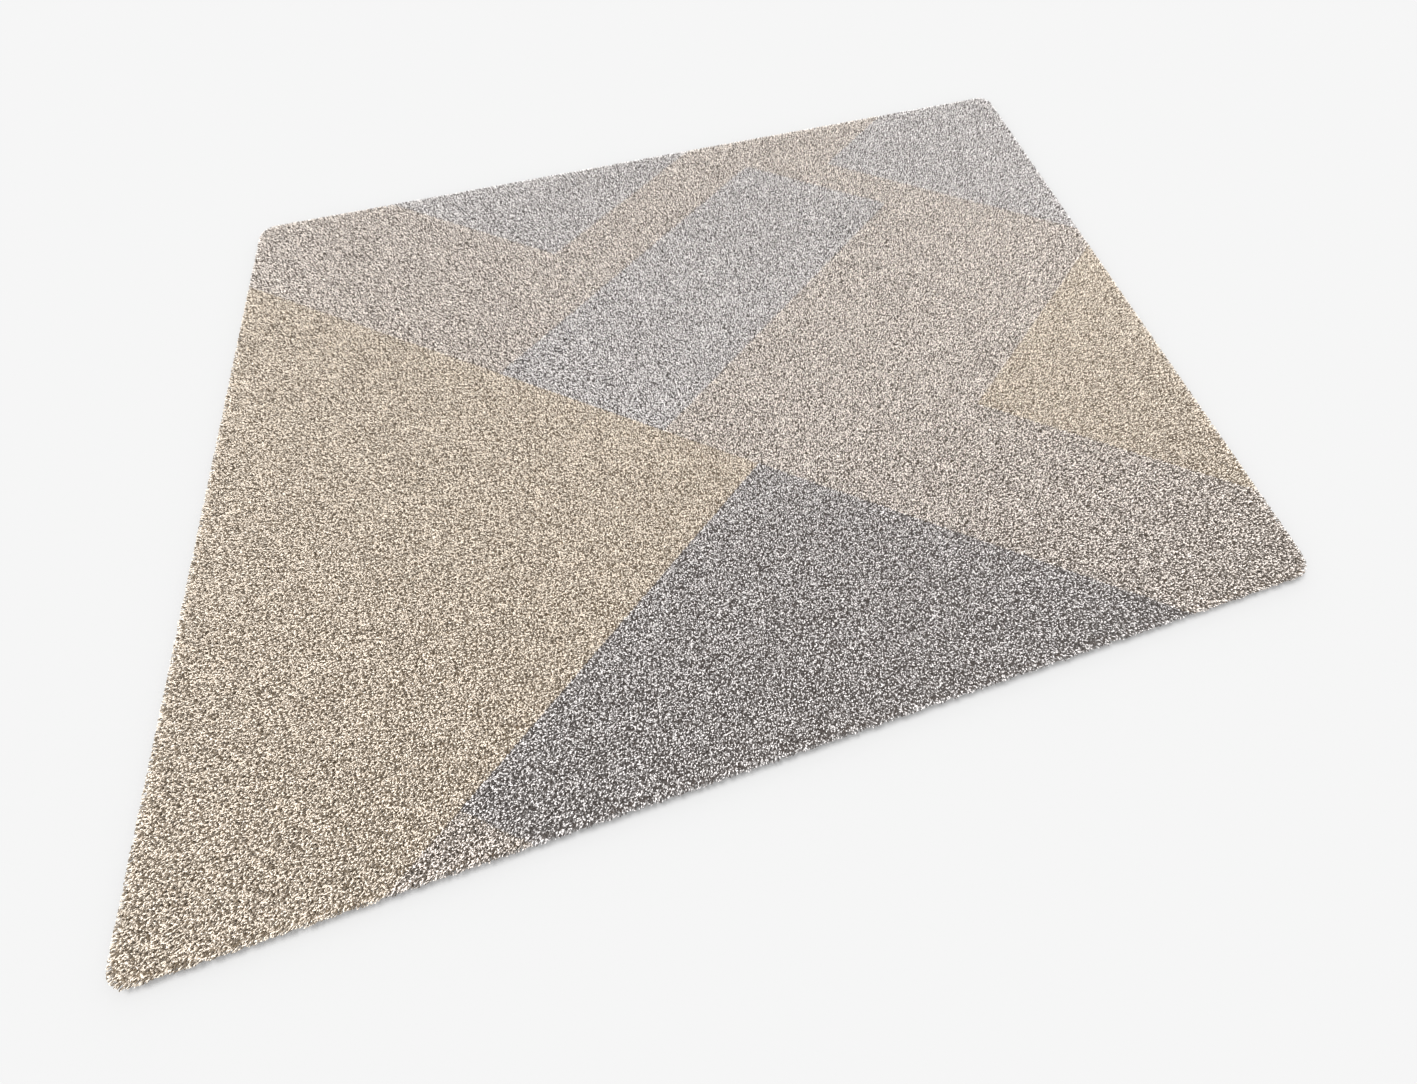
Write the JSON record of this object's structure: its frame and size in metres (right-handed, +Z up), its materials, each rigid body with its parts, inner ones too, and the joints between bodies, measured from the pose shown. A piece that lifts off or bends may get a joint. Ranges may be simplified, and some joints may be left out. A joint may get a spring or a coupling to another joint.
{
  "type": "area rug",
  "caption": "Rectangular cut-pile area rug with a pattern of diagonal colour fields, layered backings and an overlocked edge.",
  "frame": {"origin": "centre of the underside, on the floor", "axes": "+X along the long side, +Y along the short side from the front edge to the back edge, +Z up out of the pile"},
  "size_m": [2.3, 1.6, 0.02],
  "materials": {
    "sand_yarn": "soft twisted cut-pile yarn, sand melange",
    "taupe_yarn": "soft twisted cut-pile yarn, taupe melange",
    "grey_yarn": "soft twisted cut-pile yarn, grey melange",
    "primary_cloth": "plain-woven tufting cloth",
    "latex": "matt latex adhesive",
    "secondary_cloth": "open plain-woven backing cloth",
    "serging_yarn": "overlocked edge yarn"
  },
  "bodies": {
    "root": {"secondary_backing": "secondary_cloth", "latex_coat": "latex", "primary_backing": "primary_cloth", "edge_serging": "serging_yarn", "pile_sand_left": "sand_yarn", "pile_sand_right": "sand_yarn", "pile_taupe_front": "taupe_yarn", "pile_taupe_ground": "taupe_yarn", "pile_grey_front": "grey_yarn", "pile_grey_centre": "grey_yarn", "pile_grey_back_left": "grey_yarn", "pile_grey_back_right": "grey_yarn"}
  },
  "joints": []
}
